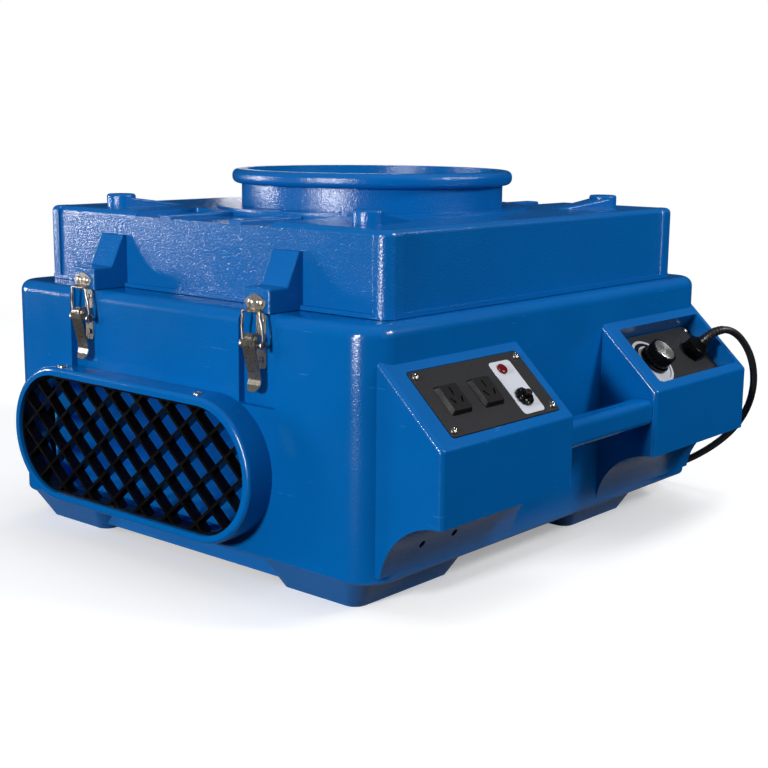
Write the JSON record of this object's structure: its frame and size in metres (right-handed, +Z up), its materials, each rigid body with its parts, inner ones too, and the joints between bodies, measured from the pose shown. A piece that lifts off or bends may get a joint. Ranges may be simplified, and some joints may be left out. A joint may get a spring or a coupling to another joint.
{
  "type": "portable air scrubber",
  "caption": "Low portable air-filtration machine: moulded base with obround exhaust grille, two control pods and carrying bar, latched lift-off lid with a round duct collar, and cord.",
  "frame": {"origin": "middle of the machine's footprint on the ground, taken without its power cord", "axes": "+Z up, -Y out of the exhaust grille, +X out of the control side with the pods and handle"},
  "size_m": [0.5787, 0.744, 0.372],
  "materials": {
    "blue_plastic": "satin, lightly grained rotomoulded polyethylene",
    "black_plastic": "satin",
    "dark_panel": "fine texture",
    "label_white": "satin",
    "red_lens": "gloss",
    "steel": "bright",
    "bright_cap": "turned",
    "galvanised": "satin",
    "rubber_black": "satin",
    "gasket_foam": "matt",
    "filter_media": "pleated",
    "filter_frame": "satin",
    "motor_casting": "cast"
  },
  "bodies": {
    "base": {"base_shell": "blue_plastic", "scroll_housing": "blue_plastic", "exhaust_grille": "black_plastic", "grille_screws": "steel", "outlet_panel": "dark_panel", "outlet_panel_screws": "steel", "socket_outlet_1": "black_plastic", "socket_outlet_2": "black_plastic", "panel_label": "label_white", "filter_lamp": "red_lens", "breaker_body": "black_plastic", "speed_panel": "dark_panel", "speed_panel_screws": "steel", "dial_scale": "label_white", "speed_control_body": "black_plastic", "cable_gland": "black_plastic", "gland_nut": "black_plastic", "power_cord": "rubber_black", "cord_tail": "rubber_black", "cord_coil": "rubber_black", "cord_tie": "black_plastic", "plug_body": "rubber_black", "plug_pins": "steel", "latch_pins": "steel", "latch_plate_rivets": "steel", "lid_gasket": "gasket_foam", "fan_deck": "galvanised", "inlet_ring": "galvanised", "fan_motor": "motor_casting", "motor_bolts": "steel", "capacitor": "black_plastic", "pressure_switch": "black_plastic", "hepa_frame": "filter_frame", "hepa_media": "filter_media", "prefilter": "filter_media", "filter_clamp": "galvanised", "latch_plate_1": "steel", "latch_plate_2": "steel", "latch_plate_3": "steel", "latch_plate_4": "steel"},
    "lid": {"lid_shell": "blue_plastic", "keepers": "steel", "keeper_rivets": "steel"},
    "impeller": {"impeller": "galvanised"},
    "speed_knob": {"speed_knob": "black_plastic", "knob_cap": "bright_cap", "knob_shaft": "steel"},
    "breaker_button": {"breaker_button": "black_plastic"},
    "lever_1": {"latch_lever_1": "steel"},
    "bail_1": {"latch_bail_1": "steel"},
    "lever_2": {"latch_lever_2": "steel"},
    "bail_2": {"latch_bail_2": "steel"},
    "lever_3": {"latch_lever_3": "steel"},
    "bail_3": {"latch_bail_3": "steel"},
    "lever_4": {"latch_lever_4": "steel"},
    "bail_4": {"latch_bail_4": "steel"}
  },
  "joints": [
    {"name": "lid_lift", "type": "slide", "parent": "base", "child": "lid", "axis": [0, 0, 1], "range_m": [0, 0.18]},
    {"name": "lever_1_swing", "type": "hinge", "parent": "base", "child": "lever_1", "pos_m": [-0.161, -0.281, 0.233], "axis": [-1, 0, 0], "range_deg": [0, 135]},
    {"name": "bail_1_swing", "type": "hinge", "parent": "lever_1", "child": "bail_1", "pos_m": [-0.161, -0.279, 0.227], "axis": [-1, 0, 0], "range_deg": [-135, 0]},
    {"name": "lever_2_swing", "type": "hinge", "parent": "base", "child": "lever_2", "pos_m": [0.086, -0.281, 0.233], "axis": [-1, 0, 0], "range_deg": [0, 135]},
    {"name": "bail_2_swing", "type": "hinge", "parent": "lever_2", "child": "bail_2", "pos_m": [0.086, -0.279, 0.227], "axis": [-1, 0, 0], "range_deg": [-135, 0]},
    {"name": "lever_3_swing", "type": "hinge", "parent": "base", "child": "lever_3", "pos_m": [-0.161, 0.299, 0.233], "axis": [1, 0, 0], "range_deg": [0, 135]},
    {"name": "bail_3_swing", "type": "hinge", "parent": "lever_3", "child": "bail_3", "pos_m": [-0.161, 0.297, 0.227], "axis": [1, 0, 0], "range_deg": [-135, 0]},
    {"name": "lever_4_swing", "type": "hinge", "parent": "base", "child": "lever_4", "pos_m": [0.086, 0.299, 0.233], "axis": [1, 0, 0], "range_deg": [0, 135]},
    {"name": "bail_4_swing", "type": "hinge", "parent": "lever_4", "child": "bail_4", "pos_m": [0.086, 0.297, 0.227], "axis": [1, 0, 0], "range_deg": [-135, 0]},
    {"name": "fan_spin", "type": "hinge", "parent": "base", "child": "impeller", "pos_m": [-0.046, 0.079, 0.12], "axis": [0, 0, 1], "continuous": true},
    {"name": "speed_knob_turn", "type": "hinge", "parent": "base", "child": "speed_knob", "pos_m": [0.24793, 0.156, 0.18292], "axis": [-0.6847, 0, -0.7288], "range_deg": [0, 280]},
    {"name": "breaker_press", "type": "slide", "parent": "base", "child": "breaker_button", "axis": [-0.6847, 0, -0.7288], "range_m": [0, 0.0025], "stiffness_N_per_m": 800}
  ],
  "couplings": [
    {"joint": "bail_1_swing", "follows": "lever_1_swing", "ratio": -1},
    {"joint": "bail_2_swing", "follows": "lever_2_swing", "ratio": -1},
    {"joint": "bail_3_swing", "follows": "lever_3_swing", "ratio": -1},
    {"joint": "bail_4_swing", "follows": "lever_4_swing", "ratio": -1}
  ]
}
